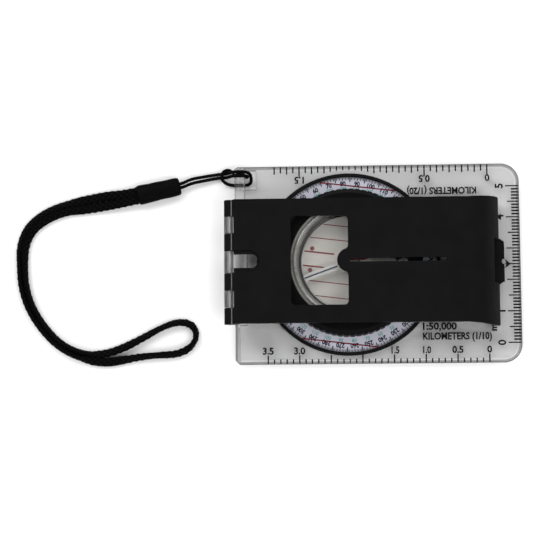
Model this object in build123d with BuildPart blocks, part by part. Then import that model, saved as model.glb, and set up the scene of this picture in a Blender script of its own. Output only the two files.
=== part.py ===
from build123d import *
import math
import os

os.makedirs("parts", exist_ok=True)

# Sighting compass, millimetres. The origin is on the dial's axis, on the underside of the
# baseplate. +X points to the thumb-tab end, +Y to the lanyard side, +Z up through the lid.

# ---------------------------------------------------------------- driving dimensions
plate_left = -36.3
plate_right = 54.5
plate_half_width = 31.8
plate_thickness = 2.5
plate_corner_radius = 5.8
plate_edge_bevel = 0.3

well_radius = 29.25
well_floor = 0.8

hinge_x = -37.3
hinge_z = 11.0
knuckle_radius = 1.9
pin_radius = 0.6
pin_half_length = 19.4
pin_play = 0.05
wall_left = -34.7
wall_right = -32.3
wall_top = 8.4

bar_x = -34.6
bar_z = 3.0
bar_half_width = 1.7
bar_half_height = 1.6
bar_low = 20.9
bar_high = 31.1

lid_half_width = 19.5
lid_left = -36.0
lid_top = 15.0
lid_thickness = 1.5
lid_bend_x = 35.5
lid_bend_radius = 12.2
lid_bend_angle = 75.0
lid_lip_x = 47.6
lid_lip_z = 4.0
lid_lip_half_width = 20.3
lid_flare_x = 37.0

flange_radius = 28.8
flange_bottom = 0.95
flange_top = 1.85
bezel_radius = 23.3
bezel_top = 11.0
capsule_radius = 18.7
capsule_inner_radius = 15.7
capsule_top = 10.6
capsule_floor = 4.6
floor_disc_radius = 15.05
floor_disc_top = 5.0
dial_turn = -6.5

needle_length = 15.0
needle_width = 2.15
needle_bottom = 7.5
needle_heading = 19.8

strap_diameter = 2.2
loop_diameter = 1.1
sleeve_length = 14.0
sleeve_angle = 12.1
sleeve_start = (-67.65, 22.97)
sleeve_height = 2.3

fit_gap = 0.05

# The seven hinge knuckles share the barrel: (lowest Y, highest Y).
base_knuckles = [(-14.25, -9.15), (-3.35, 3.35), (9.15, 14.25)]
lid_knuckles = [(-19.6, -14.5), (-8.9, -3.6), (3.6, 8.9), (14.5, 19.6)]

UPWARD = (Align.CENTER, Align.CENTER, Align.MIN)


def save(part, name):
    """Label one finished sub-part and write its STEP file."""
    part.label = name
    export_step(part, f"parts/{name}.step")


def side_plane(y_high):
    """Plane facing -Y through y_high: local x is +X, local y is +Z, extrusion runs to -Y."""
    return Plane.XZ.offset(-y_high)


# ---------------------------------------------------------------- baseplate
lanyard_slot_right = -29.5
lanyard_slot_low = 24.5
lanyard_slot_high = 30.7
panel_right = 48.5
panel_half_width = 24.2
panel_depth = 0.15
left_bevel_width = 1.7
left_bevel_depth = 0.9
left_corner_chamfer = 1.4
left_corner_radius = 1.2

with BuildPart() as baseplate:
    with Locations(((plate_left + plate_right) / 2, 0, 0)):
        Box(plate_right - plate_left, 2 * plate_half_width, plate_thickness, align=UPWARD)
    right_corners = baseplate.edges().filter_by(Axis.Z).group_by(Axis.X)[-1]
    fillet(right_corners, plate_corner_radius)
    left_corners = baseplate.edges().filter_by(Axis.Z).group_by(Axis.X)[0].sort_by(Axis.Y)
    chamfer(left_corners[0], left_corner_chamfer)
    rounded_corner = baseplate.edges().filter_by(Axis.Z).group_by(Axis.X)[0].sort_by(Axis.Y)[-1]
    fillet(rounded_corner, left_corner_radius)
    chamfer(baseplate.faces().sort_by(Axis.Z)[-1].edges(), plate_edge_bevel)
    # Shallow panel in the top face, between the edge scales.
    with BuildSketch(Plane.XY.offset(plate_thickness)):
        with Locations(((wall_left + panel_right) / 2, 0)):
            RectangleRounded(panel_right - wall_left, 2 * panel_half_width, 1.0)
    extrude(amount=-panel_depth, mode=Mode.SUBTRACT)
    # Long bevel on the hinge side, beyond the lid.
    with BuildSketch(side_plane(-lid_half_width - 0.4)):
        with BuildLine():
            Polyline(
                (plate_left - 1, plate_thickness + 1),
                (plate_left + left_bevel_width, plate_thickness + 1),
                (plate_left + left_bevel_width, plate_thickness),
                (plate_left, plate_thickness - left_bevel_depth),
                (plate_left - 1, plate_thickness - left_bevel_depth),
                close=True,
            )
        make_face()
    extrude(amount=plate_half_width - lid_half_width, mode=Mode.SUBTRACT)
    # Round well for the dial; a thin floor stays under it.
    with Locations((0, 0, well_floor)):
        Cylinder(well_radius, plate_thickness, align=UPWARD, mode=Mode.SUBTRACT)
    # Lanyard slot, open under the bar that bridges it.
    lanyard_slot_start = plate_left - 1
    lanyard_slot_x = (lanyard_slot_start + lanyard_slot_right) / 2
    lanyard_slot_y = (lanyard_slot_low + lanyard_slot_high) / 2
    with Locations((lanyard_slot_x, lanyard_slot_y, 0)):
        Box(
            lanyard_slot_right - lanyard_slot_start,
            lanyard_slot_high - lanyard_slot_low,
            3 * plate_thickness,
            mode=Mode.SUBTRACT,
        )
    with BuildSketch(side_plane(bar_high)):
        with Locations((bar_x, bar_z)):
            Ellipse(bar_half_width, bar_half_height)
    extrude(amount=bar_high - bar_low)
    # Upstand behind the dial, with an arm up to each clear knuckle.
    with Locations(((wall_left + wall_right) / 2, 0, well_floor)):
        Box(wall_right - wall_left, 2 * lid_half_width, wall_top - well_floor, align=UPWARD)
    for low, high in base_knuckles:
        with BuildSketch(side_plane(high)):
            with Locations((hinge_x, hinge_z)):
                Circle(knuckle_radius)
            with BuildLine():
                Polyline(
                    (hinge_x - 1.5, hinge_z - 1.0),
                    (wall_left + 0.2, wall_top - 2.6),
                    (wall_right, wall_top - 1.0),
                    (wall_right, wall_top + 0.6),
                    (hinge_x + 1.1, hinge_z + 1.4),
                    close=True,
                )
            make_face()
        extrude(amount=high - low)
    with BuildSketch(side_plane(lid_half_width)):
        with Locations((hinge_x, hinge_z)):
            Circle(pin_radius)
    extrude(amount=2 * lid_half_width, mode=Mode.SUBTRACT)
save(baseplate.part, "baseplate")

with BuildPart() as hinge_pin:
    with BuildSketch(side_plane(pin_half_length)):
        with Locations((hinge_x, hinge_z)):
            Circle(pin_radius)
    extrude(amount=2 * pin_half_length)
    chamfer(hinge_pin.edges().filter_by(GeomType.CIRCLE), 0.15)
save(hinge_pin.part, "hinge_pin")

ring_inner_radius = 28.1
ring_bottom = 1.95
ring_chamfer = 0.2
with BuildPart() as dial_retaining_ring:
    with BuildSketch(Plane.XY.offset(ring_bottom)):
        Circle(well_radius)
        Circle(ring_inner_radius, mode=Mode.SUBTRACT)
    extrude(amount=plate_thickness - ring_bottom)
    top_circles = dial_retaining_ring.edges().filter_by(GeomType.CIRCLE).group_by(Axis.Z)[-1]
    chamfer(top_circles.sort_by(SortBy.RADIUS)[0], ring_chamfer)
save(dial_retaining_ring.part, "dial_retaining_ring")

# ---------------------------------------------------------------- dial
with BuildPart() as graduated_ring:
    with BuildSketch(Plane.XY.offset(flange_bottom)):
        Circle(flange_radius)
        Circle(capsule_radius + fit_gap, mode=Mode.SUBTRACT)
    extrude(amount=flange_top - flange_bottom)
save(graduated_ring.part, "graduated_ring")

grip_grooves = 72
grip_groove_radius = 0.5
grip_groove_depth = 0.25
shoulder_drop = 1.6
with BuildPart() as bezel_ring:
    with BuildSketch(Plane.XY.offset(flange_top)):
        Circle(bezel_radius)
        Circle(capsule_radius + fit_gap, mode=Mode.SUBTRACT)
        with PolarLocations(bezel_radius + grip_groove_radius - grip_groove_depth, grip_grooves):
            Circle(grip_groove_radius, mode=Mode.SUBTRACT)
    extrude(amount=bezel_top - flange_top)
    # Sloping shoulder above the grip.
    with BuildSketch(Plane.XZ):
        with BuildLine():
            Polyline(
                (bezel_radius - shoulder_drop, bezel_top + 0.1),
                (bezel_radius + 1, bezel_top + 0.1),
                (bezel_radius + 1, bezel_top - shoulder_drop - 1),
                close=True,
            )
        make_face()
    revolve(axis=Axis.Z, mode=Mode.SUBTRACT)
save(bezel_ring.part, "bezel_ring")

capsule_recess_top = 3.4
capsule_recess_radius = 16.7
capsule_chamfer = 0.3
with BuildPart() as capsule_body:
    with Locations((0, 0, flange_bottom)):
        Cylinder(capsule_radius, capsule_top - flange_bottom, align=UPWARD)
        recess_height = capsule_recess_top - flange_bottom
        Cylinder(capsule_recess_radius, recess_height, align=UPWARD, mode=Mode.SUBTRACT)
    with Locations((0, 0, capsule_floor)):
        Cylinder(capsule_inner_radius, capsule_top, align=UPWARD, mode=Mode.SUBTRACT)
    top_circles = capsule_body.edges().filter_by(GeomType.CIRCLE).group_by(Axis.Z)[-1]
    chamfer(top_circles.sort_by(SortBy.RADIUS)[-1], capsule_chamfer)
save(capsule_body.part, "capsule_body")

cover_rim_radius = 18.3
cover_rim_height = 0.45
cover_foot_radius = 17.3
cover_crown_radius = 16.9
cover_top = 11.6
plug_width = 0.7
with BuildPart() as capsule_cover:
    with BuildSketch(Plane.XZ):
        with BuildLine():
            Polyline(
                (0, capsule_top),
                (cover_rim_radius, capsule_top),
                (cover_rim_radius, capsule_top + cover_rim_height),
                (cover_foot_radius, capsule_top + cover_rim_height),
                (cover_crown_radius, cover_top),
                (0, cover_top),
                close=True,
            )
        make_face()
    revolve(axis=Axis.Z)
    # Plug that centres the cover in the cup.
    with BuildSketch(Plane.XY.offset(capsule_top)):
        Circle(capsule_inner_radius - 2 * fit_gap)
        Circle(capsule_inner_radius - 2 * fit_gap - plug_width, mode=Mode.SUBTRACT)
    extrude(amount=-plug_width)
save(capsule_cover.part, "capsule_cover")

seal_height = 0.8
with BuildPart() as capsule_seal_ring:
    with BuildSketch(Plane.XY.offset(capsule_floor)):
        Circle(capsule_inner_radius - 2 * fit_gap)
        Circle(floor_disc_radius, mode=Mode.SUBTRACT)
    extrude(amount=seal_height)
save(capsule_seal_ring.part, "capsule_seal_ring")

boss_radius = 1.1
with BuildPart() as dial_floor:
    with BuildSketch(Plane.XY.offset(capsule_floor)):
        Circle(floor_disc_radius - fit_gap)
        Circle(boss_radius + fit_gap, mode=Mode.SUBTRACT)
    extrude(amount=floor_disc_top - capsule_floor)
save(dial_floor.part, "dial_floor")

dot_radius = 0.7
dot_distance = 12.0
dot_spread = 3.45
dot_height = 0.15
with BuildPart() as north_dots:
    with BuildSketch(Plane.XY.offset(floor_disc_top).rotated((0, 0, dial_turn))):
        with Locations((-dot_distance, dot_spread), (-dot_distance, -dot_spread)):
            Circle(dot_radius)
    extrude(amount=dot_height)
save(north_dots.part, "north_dots")

boss_top = 6.2
boss_chamfer = 0.3
spike_radius = 0.3
spike_bottom = 5.0
spike_point_height = 0.6
spike_tip_radius = 0.05
with BuildPart() as pivot_boss:
    with Locations((0, 0, capsule_floor)):
        Cylinder(boss_radius, boss_top - capsule_floor, align=UPWARD)
    top_edge = pivot_boss.edges().filter_by(GeomType.CIRCLE).sort_by(Axis.Z)[-1]
    chamfer(top_edge, boss_chamfer)
    with Locations((0, 0, spike_bottom)):
        Cylinder(spike_radius, boss_top, align=UPWARD, mode=Mode.SUBTRACT)
save(pivot_boss.part, "pivot_boss")

pivot_tip = 8.1
with BuildPart() as pivot_pin:
    with Locations((0, 0, spike_bottom)):
        Cylinder(spike_radius, pivot_tip - spike_point_height - spike_bottom, align=UPWARD)
    with Locations((0, 0, pivot_tip - spike_point_height)):
        Cone(spike_radius, spike_tip_radius, spike_point_height, align=UPWARD)
save(pivot_pin.part, "pivot_pin")

# ---------------------------------------------------------------- needle
# The red end points to (+X, +Y) of the case, the white end away from it.
hub_radius = 3.8
blade_thickness = 0.3
magnet_thickness = 0.35
magnet_width = 0.9
magnet_length = 28.5
magnet_eye_radius = 1.45
bearing_radius = 0.9
hub_thickness = 0.45
hub_chamfer = 0.2
needle_plane = Plane.XY.rotated((0, 0, needle_heading))

with BuildPart() as needle_magnet:
    with BuildSketch(needle_plane.offset(needle_bottom)):
        Rectangle(magnet_length, magnet_width)
        Circle(magnet_eye_radius)
        Circle(bearing_radius + fit_gap, mode=Mode.SUBTRACT)
    extrude(amount=magnet_thickness)
save(needle_magnet.part, "needle_magnet")

blade_point = 0.5
blade_tip_half_width = 0.25


def blade_outline(sign):
    """Closed outline of half a needle, from the hub to its tip."""
    with BuildLine() as outline:
        Polyline(
            (sign * (hub_radius + fit_gap), needle_width / 2),
            (sign * (needle_length - blade_point), needle_width / 2),
            (sign * needle_length, blade_tip_half_width),
            (sign * needle_length, -blade_tip_half_width),
            (sign * (needle_length - blade_point), -needle_width / 2),
            (sign * (hub_radius + fit_gap), -needle_width / 2),
            close=True,
        )
    return outline.edges()


north_outline = blade_outline(1)
south_outline = blade_outline(-1)
blade_bottom = needle_bottom + magnet_thickness
with BuildPart() as needle_north_blade:
    with BuildSketch(needle_plane.offset(blade_bottom)):
        make_face(north_outline)
    extrude(amount=blade_thickness)
save(needle_north_blade.part, "needle_north_blade")

with BuildPart() as needle_south_blade:
    with BuildSketch(needle_plane.offset(blade_bottom)):
        make_face(south_outline)
    extrude(amount=blade_thickness)
save(needle_south_blade.part, "needle_south_blade")

with BuildPart() as needle_hub:
    with BuildSketch(needle_plane.offset(blade_bottom)):
        Circle(hub_radius - fit_gap)
        Circle(bearing_radius + fit_gap, mode=Mode.SUBTRACT)
    extrude(amount=hub_thickness)
    top_circles = needle_hub.edges().filter_by(GeomType.CIRCLE).group_by(Axis.Z)[-1]
    chamfer(top_circles.sort_by(SortBy.RADIUS)[-1], hub_chamfer)
save(needle_hub.part, "needle_hub")

bearing_top = 9.1
bearing_dome = 0.4
cup_radius = 0.5
cup_lip = 0.2
cup_end_radius = 0.15
with BuildPart() as jewel_bearing:
    with Locations((0, 0, needle_bottom)):
        Cylinder(bearing_radius, bearing_top - needle_bottom, align=UPWARD)
        Cylinder(cup_radius, cup_lip, align=UPWARD, mode=Mode.SUBTRACT)
    with Locations((0, 0, needle_bottom + cup_lip)):
        Cone(cup_radius, cup_end_radius, pivot_tip - needle_bottom, align=UPWARD, mode=Mode.SUBTRACT)
    dome = jewel_bearing.edges().filter_by(GeomType.CIRCLE).sort_by(Axis.Z)[-1]
    fillet(dome, bearing_dome)
save(jewel_bearing.part, "jewel_bearing")

# ---------------------------------------------------------------- lid
window_left = -18.1
window_right = -0.2
window_half_height = 14.0
window_corner = 1.4
window_tab_radius = 3.65
window_tab_fillet = 1.3
slot_left = 0.2
slot_right = 30.6
slot_width = 1.2
rim_width = 1.2
rim_depth = 2.8
notch_half_width = 2.15
notch_right = -28.4
notch_recess_half_width = 3.35
notch_recess_right = -27.85
notch_recess_depth = 0.7
scoop_left = 45.6
scoop_width = 14.0
scoop_wall = 1.7
scoop_wall_height = 5.4
ledge_top = 5.2
tab_right = 49.1
tab_half_width = 6.0
tab_root_half_width = 7.45
tab_notch_radius = 0.85


def lid_section(left, depth):
    """Side outline of the lid: a flat plate that curls down at the tab end."""
    bend_centre = (lid_bend_x, lid_top - lid_bend_radius)
    end_angle = 90 - lid_bend_angle
    inner_radius = lid_bend_radius - depth
    with BuildLine() as outline:
        Line((left, lid_top), (lid_bend_x, lid_top))
        outer = CenterArc(bend_centre, lid_bend_radius, 90, -lid_bend_angle)
        inner = CenterArc(bend_centre, inner_radius, end_angle, lid_bend_angle)
        Polyline(outer @ 1, (lid_lip_x, lid_lip_z), (lid_lip_x - depth, lid_lip_z), inner @ 0)
        Polyline(inner @ 1, (left, lid_top - depth), (left, lid_top))
    return outline.edges()


cover_outline = lid_section(lid_left, lid_thickness)
rim_outline = lid_section(lid_left + 2.2, rim_depth)
with BuildPart() as lid_cover:
    with BuildSketch(side_plane(lid_lip_half_width)):
        make_face(cover_outline)
    extrude(amount=2 * lid_lip_half_width)
    hinge_edge = lid_cover.edges().filter_by(Axis.Y).group_by(Axis.X)[0].sort_by(Axis.Z)[-1]
    fillet(hinge_edge, 0.8)
    # Stiffening rims along both sides.
    rim_extrusion = rim_width + lid_lip_half_width - lid_half_width
    for rim_high in (lid_lip_half_width, -lid_lip_half_width + rim_extrusion):
        with BuildSketch(side_plane(rim_high)):
            make_face(rim_outline)
        extrude(amount=rim_extrusion)
    # The sides run straight from the hinge and flare out to the lip.
    with BuildSketch(Plane.XY):
        for side in (1, -1):
            with BuildLine():
                Polyline(
                    (lid_left - 1, side * lid_half_width),
                    (lid_flare_x, side * lid_half_width),
                    (lid_lip_x, side * lid_lip_half_width),
                    (lid_lip_x, side * (lid_lip_half_width + 1)),
                    (lid_left - 1, side * (lid_lip_half_width + 1)),
                    close=True,
                )
            make_face()
    extrude(amount=lid_top + 1, mode=Mode.SUBTRACT)
    # Window with the round tab over the needle's pivot.
    with BuildSketch(Plane.XY.offset(lid_top + 1)) as window:
        with Locations(((window_left + window_right) / 2, 0)):
            RectangleRounded(window_right - window_left, 2 * window_half_height, window_corner)
        Circle(window_tab_radius, mode=Mode.SUBTRACT)
        tab_roots = window.vertices().filter_by_position(Axis.Y, -4.2, 4.2).group_by(Axis.X)[-1]
        fillet(tab_roots, window_tab_fillet)
    extrude(amount=-4, mode=Mode.SUBTRACT)
    # Sighting slot.
    with BuildSketch(Plane.XY.offset(lid_top + 1)):
        with Locations(((slot_left + slot_right) / 2, 0)):
            SlotOverall(slot_right - slot_left, slot_width)
    extrude(amount=-4, mode=Mode.SUBTRACT)
    # Rear sighting notch: a shallow recess round an open slot.
    for half_width, right, depth in (
        (notch_recess_half_width, notch_recess_right, notch_recess_depth),
        (notch_half_width, notch_right, 2 * lid_thickness),
    ):
        with BuildSketch(Plane.XY.offset(lid_top)):
            with Locations((right - 6, 0)):
                RectangleRounded(12, 2 * half_width, half_width - 0.1)
        extrude(amount=-depth, mode=Mode.SUBTRACT)
    # Knuckles with the short webs that carry them.
    for low, high in lid_knuckles:
        with BuildSketch(side_plane(high)):
            with Locations((hinge_x, hinge_z)):
                Circle(knuckle_radius)
            with BuildLine():
                Polyline(
                    (hinge_x + 0.4, hinge_z + 1.55),
                    (lid_left + 0.05, lid_top - 1.3),
                    (lid_left + 0.05, lid_top - 0.9),
                    (lid_left + 2.2, lid_top - 0.9),
                    (lid_left + 2.2, lid_top - lid_thickness),
                    (hinge_x + 1.8, hinge_z + 0.3),
                    close=True,
                )
            make_face()
        extrude(amount=high - low)
    with BuildSketch(side_plane(lid_half_width + 0.2)):
        with Locations((hinge_x, hinge_z)):
            Circle(pin_radius + pin_play)
    extrude(amount=2 * lid_half_width + 0.4, mode=Mode.SUBTRACT)
    # Thumb scoop in the curled end, backed from inside, with the tab below it.
    with Locations((scoop_left - scoop_wall / 2, 0, lid_lip_z)):
        Box(scoop_wall, scoop_width + 2.4, scoop_wall_height, align=UPWARD)
    with Locations((scoop_left, 0, ledge_top)):
        Box(10, scoop_width, 12, align=(Align.MIN, Align.CENTER, Align.MIN), mode=Mode.SUBTRACT)
    with BuildSketch(Plane.XY.offset(lid_lip_z)):
        with BuildLine():
            Polyline(
                (scoop_left - 0.2, -tab_root_half_width),
                (lid_lip_x - 0.3, -tab_root_half_width),
                (tab_right - 0.2, -tab_half_width - 0.4),
                (tab_right, -tab_half_width),
                (tab_right, tab_half_width),
                (tab_right - 0.2, tab_half_width + 0.4),
                (lid_lip_x - 0.3, tab_root_half_width),
                (scoop_left - 0.2, tab_root_half_width),
                close=True,
            )
        make_face()
        with Locations((tab_right, 0)):
            Circle(tab_notch_radius, mode=Mode.SUBTRACT)
    extrude(amount=ledge_top - lid_lip_z)
save(lid_cover.part, "lid_cover")

mirror_left = 0.8
mirror_right = 34.5
mirror_half_width = 17.4
mirror_thickness = 1.0
tape_thickness = 0.2
tape_inset = 0.6
tape_bottom = lid_top - lid_thickness - tape_thickness


def slotted_plate(left, right, half_width, gap):
    """Rectangle with a gap for the line of sight, open at its left edge."""
    with Locations(((left + right) / 2, 0)):
        Rectangle(right - left, 2 * half_width)
    with Locations((slot_right / 2, 0)):
        Rectangle(slot_right + 1, gap, mode=Mode.SUBTRACT)


with BuildPart() as mirror:
    with BuildSketch(Plane.XY.offset(tape_bottom - mirror_thickness)):
        slotted_plate(mirror_left, mirror_right, mirror_half_width, slot_width + 0.6)
    extrude(amount=mirror_thickness)
save(mirror.part, "mirror")

with BuildPart() as mirror_tape:
    with BuildSketch(Plane.XY.offset(tape_bottom)):
        tape_left = mirror_left + tape_inset
        tape_right = mirror_right - tape_inset
        slotted_plate(tape_left, tape_right, mirror_half_width - tape_inset, slot_width + 1.4)
    extrude(amount=tape_thickness)
save(mirror_tape.part, "mirror_tape")

# ---------------------------------------------------------------- cords
# Thin loop, hitched round the lanyard bar: out of the sleeve, over the bar, through the slot,
# back under the bar, up over its own two strands as the bight, and home the same way.
loop_route = [
    (-56.43, 25.99, 2.3),
    (-53.2, 26.68, 2.3),
    (-50.6, 28.1, 2.1),
    (-46.3, 28.9, 1.7),
    (-42.2, 29.6, 1.15),
    (-40.1, 29.85, 0.95),
    (-38.6, 29.9, 1.5),
    (-37.4, 29.9, 3.9),
    (-35.9, 29.85, 5.35),
    (-33.2, 29.85, 5.35),
    (-31.3, 29.4, 4.7),
    (-30.9, 28.0, 3.0),
    (-31.1, 26.7, 1.4),
    (-32.2, 26.1, 0.75),
    (-34.6, 26.0, 0.7),
    (-37.2, 26.1, 0.75),
    (-39.1, 26.6, 1.3),
    (-40.3, 27.6, 2.3),
    (-40.5, 29.2, 2.75),
    (-39.7, 30.6, 2.5),
    (-38.1, 31.1, 1.4),
    (-37.0, 30.1, 0.75),
    (-34.6, 29.4, 0.7),
    (-32.9, 28.8, 0.7),
    (-32.1, 28.5, 1.95),
    (-32.15, 28.55, 4.2),
    (-33.2, 28.55, 5.35),
    (-35.9, 28.55, 5.35),
    (-37.4, 28.6, 3.8),
    (-38.6, 28.6, 1.5),
    (-40.1, 28.55, 0.95),
    (-42.2, 28.4, 1.15),
    (-46.8, 27.5, 1.7),
    (-50.4, 26.75, 2.1),
    (-52.95, 25.5, 2.3),
    (-56.18, 24.81, 2.3),
]
# Wrist cord: doubled from the sleeve round the wrist, open only in the bight at its far end.
strap_route = [
    (-66.04, 24.54, 2.3),
    (-71.42, 23.39, 2.3),
    (-77.5, 22.7, 1.35),
    (-84.5, 21.6, 1.12),
    (-91.8, 20.4, 1.12),
    (-98.4, 17.8, 1.12),
    (-103.8, 13.5, 1.12),
    (-106.3, 7.25, 1.12),
    (-106.2, 0.5, 1.12),
    (-105.75, -6.15, 1.12),
    (-103.45, -13.35, 1.12),
    (-99.2, -20.1, 1.12),
    (-93.5, -25.95, 1.12),
    (-86.5, -29.6, 1.12),
    (-78.8, -30.8, 1.12),
    (-72.4, -29.9, 1.12),
    (-66.3, -28.8, 1.12),
    (-60.3, -28.4, 1.12),
    (-54.9, -28.2, 1.12),
    (-51.0, -26.4, 1.12),
    (-48.8, -23.4, 1.12),
    (-49.1, -20.2, 1.12),
    (-51.7, -18.2, 1.12),
    (-55.6, -18.1, 1.12),
    (-60.3, -19.8, 1.12),
    (-66.2, -23.05, 1.12),
    (-72.3, -26.1, 1.12),
    (-78.8, -28.2, 1.12),
    (-85.65, -27.35, 1.12),
    (-92.05, -24.05, 1.12),
    (-97.3, -18.6, 1.12),
    (-101.3, -12.35, 1.12),
    (-103.4, -5.7, 1.12),
    (-103.8, 0.5, 1.12),
    (-103.95, 6.65, 1.12),
    (-101.9, 12.0, 1.12),
    (-97.0, 15.8, 1.12),
    (-91.0, 18.2, 1.12),
    (-84.1, 19.2, 1.12),
    (-77.1, 20.3, 1.35),
    (-70.92, 21.05, 2.3),
    (-65.54, 22.2, 2.3),
]


def arc_radii(route):
    """Arc at each inner point: 0.45 of the shorter run over the tangent of half the turn."""
    radii = []
    for before, here, after in zip(route, route[1:], route[2:]):
        run_in = Vector(here) - Vector(before)
        run_out = Vector(after) - Vector(here)
        half_turn = math.radians(run_in.get_angle(run_out) / 2)
        radii.append(0.45 * min(run_in.length, run_out.length) / math.tan(half_turn))
    return radii


def tube(route, diameter, name):
    """Round tube along the route; prints its bends, length and volume."""
    radii = arc_radii(route)
    with BuildLine(mode=Mode.PRIVATE) as path:
        FilletPolyline(*route, radius=radii)
    wire = path.wire()
    with BuildPart() as solid_tube:
        with BuildSketch(Plane(origin=wire @ 0, z_dir=wire % 0)):
            Circle(diameter / 2)
        sweep(path=wire)
    section = math.pi * diameter**2 / 4
    print(name, "arc radii", [round(radius, 1) for radius in radii])
    print(name, "length", round(wire.length, 2), "section x length", round(section * wire.length, 2))
    print(name, "volume", round(solid_tube.part.volume, 2))
    return solid_tube.part


save(tube(loop_route, loop_diameter, "lanyard_loop"), "lanyard_loop")
save(tube(strap_route, strap_diameter, "wrist_cord"), "wrist_cord")

# The tapered sleeve lies along its own axis; local x is across it, local y is up.
sleeve_axis = Vector(1, 0, 0).rotate(Axis.Z, sleeve_angle)
sleeve_base = Vector(*sleeve_start, sleeve_height)
sleeve_across = Vector(0, 1, 0).rotate(Axis.Z, sleeve_angle)
sleeve_plane = Plane(origin=sleeve_base, x_dir=sleeve_across, z_dir=sleeve_axis)
sleeve_wide = 6.4
sleeve_narrow = 5.7
sleeve_tall = 4.2
sleeve_corner = 1.5
far_rim_radius = 1.2
near_rim_radius = 0.4
bore_wide = 5.0
bore_tall = 2.7
bore_corner = 1.2
mouth_depth = 1.9
end_wall = 2.4
exit_wide = 2.7
exit_tall = 1.5
exit_corner = 0.7

with BuildPart() as lanyard_sleeve:
    with BuildSketch(sleeve_plane):
        RectangleRounded(sleeve_wide, sleeve_tall, sleeve_corner)
    with BuildSketch(sleeve_plane.offset(sleeve_length)):
        RectangleRounded(sleeve_narrow, sleeve_tall, sleeve_corner)
    loft()
    far_rim = lanyard_sleeve.faces().sort_by(Axis.X)[-1].edges()
    fillet(far_rim, far_rim_radius)
    near_rim = lanyard_sleeve.faces().sort_by(Axis.X)[0].edges()
    fillet(near_rim, near_rim_radius)
    with BuildSketch(sleeve_plane):
        RectangleRounded(bore_wide, bore_tall, bore_corner)
    extrude(amount=sleeve_length - end_wall, mode=Mode.SUBTRACT)
    with BuildSketch(sleeve_plane.offset(sleeve_length - end_wall)):
        RectangleRounded(exit_wide, exit_tall, exit_corner)
    extrude(amount=end_wall + 1, mode=Mode.SUBTRACT)
save(lanyard_sleeve.part, "lanyard_sleeve")

with BuildPart() as sleeve_ferrule:
    with BuildSketch(sleeve_plane.offset(mouth_depth)):
        RectangleRounded(bore_wide, bore_tall, bore_corner)
    extrude(amount=sleeve_length - end_wall - mouth_depth)
save(sleeve_ferrule.part, "sleeve_ferrule")
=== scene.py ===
"""Sighting compass with a mirror lid: materials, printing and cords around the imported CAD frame."""

import math

import bmesh
import bpy
from mathutils import Matrix, Vector


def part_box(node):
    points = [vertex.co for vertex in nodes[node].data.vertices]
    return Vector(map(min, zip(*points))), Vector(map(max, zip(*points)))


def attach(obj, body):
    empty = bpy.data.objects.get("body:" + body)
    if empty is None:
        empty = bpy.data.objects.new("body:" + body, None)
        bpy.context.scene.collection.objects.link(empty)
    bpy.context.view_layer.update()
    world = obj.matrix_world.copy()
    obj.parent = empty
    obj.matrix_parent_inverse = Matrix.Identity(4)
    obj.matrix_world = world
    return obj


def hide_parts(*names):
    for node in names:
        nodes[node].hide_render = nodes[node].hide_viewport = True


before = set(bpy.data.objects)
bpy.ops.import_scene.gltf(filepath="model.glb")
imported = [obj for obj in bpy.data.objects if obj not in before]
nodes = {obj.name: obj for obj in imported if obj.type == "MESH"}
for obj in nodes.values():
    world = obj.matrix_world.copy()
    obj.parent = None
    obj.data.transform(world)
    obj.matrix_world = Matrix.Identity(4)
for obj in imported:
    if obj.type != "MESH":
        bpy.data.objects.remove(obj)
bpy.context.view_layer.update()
scene = bpy.context.scene
MM = 0.001

NEEDLE_HEADING = math.radians(19.8)
DIAL_TURN = math.radians(-7.0)


# ---------------------------------------------------------------- camera

camera_data = bpy.data.cameras.new("camera")
camera_data.lens = 113.71
camera_data.sensor_width = 36.0
camera_data.clip_start = 0.01
camera = bpy.data.objects.new("camera", camera_data)
camera.location = (-0.002563, -0.059881, 0.536366)
camera.rotation_euler = (0.1104, 0.04509, -0.0069)
scene.collection.objects.link(camera)
scene.camera = camera
scene.view_settings.view_transform = "Standard"


# ---------------------------------------------------------------- node helpers


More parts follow.
